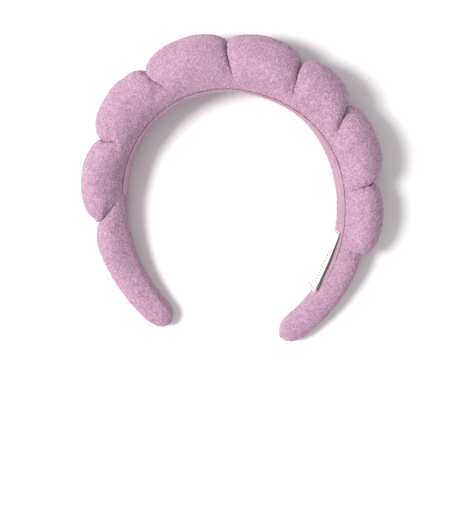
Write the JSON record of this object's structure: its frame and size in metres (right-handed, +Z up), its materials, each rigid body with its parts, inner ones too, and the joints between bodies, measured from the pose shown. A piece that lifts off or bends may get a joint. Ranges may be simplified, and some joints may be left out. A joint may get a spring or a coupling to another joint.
{
  "type": "spa headband",
  "caption": "Puffy terry cloth spa headband: a sprung C-shaped hoop, padded and gathered into rounded lobes, with plain tapering tails and an inner lining.",
  "frame": {"origin": "middle of the bottom of the bounding box, on the table that the headband lies on", "axes": "+Z up from the table, +Y towards the crown, -Y towards the open tips, +X towards the leg with the label"},
  "size_m": [0.1966, 0.1956, 0.0453],
  "materials": {
    "terry": "looped terry pile, matte",
    "lining": "smooth short-pile ribbon, matte",
    "foam": "open-cell foam, matte",
    "hoop_plastic": "satin moulded plastic",
    "thread": "twisted sewing thread, matte",
    "label": "woven satin ribbon"
  },
  "bodies": {
    "left_side": {"hoop": "hoop_plastic", "foam_tail_left": "foam", "foam_lobe_1": "foam", "foam_lobe_2": "foam", "foam_lobe_3": "foam", "terry_cover_left": "terry", "inner_lining": "lining", "lining_seam_front": "thread", "lining_seam_back": "thread", "gather_thread_1": "thread", "gather_thread_2": "thread", "gather_thread_3": "thread", "gather_thread_4": "thread", "tip_stitch_left": "thread"},
    "right_side": {"foam_lobe_4": "foam", "foam_lobe_5": "foam", "foam_lobe_6": "foam", "foam_lobe_7": "foam", "foam_tail_right": "foam", "terry_cover_right": "terry", "gather_thread_5": "thread", "gather_thread_6": "thread", "gather_thread_7": "thread", "gather_thread_8": "thread", "tip_stitch_right": "thread", "label_ribbon": "label", "label_tack_upper": "thread", "label_tack_lower": "thread"}
  },
  "joints": [
    {"name": "spread", "type": "hinge", "parent": "left_side", "child": "right_side", "pos_m": [0.00038, 0.06604, 0.02013], "axis": [0, -0.0842, 0.9965], "range_deg": [-8, 24], "stiffness_Nm_per_rad": 1.46, "deforming": ["hoop", "terry_cover_left", "terry_cover_right", "inner_lining", "lining_seam_front", "lining_seam_back", "foam_lobe_4"]}
  ]
}
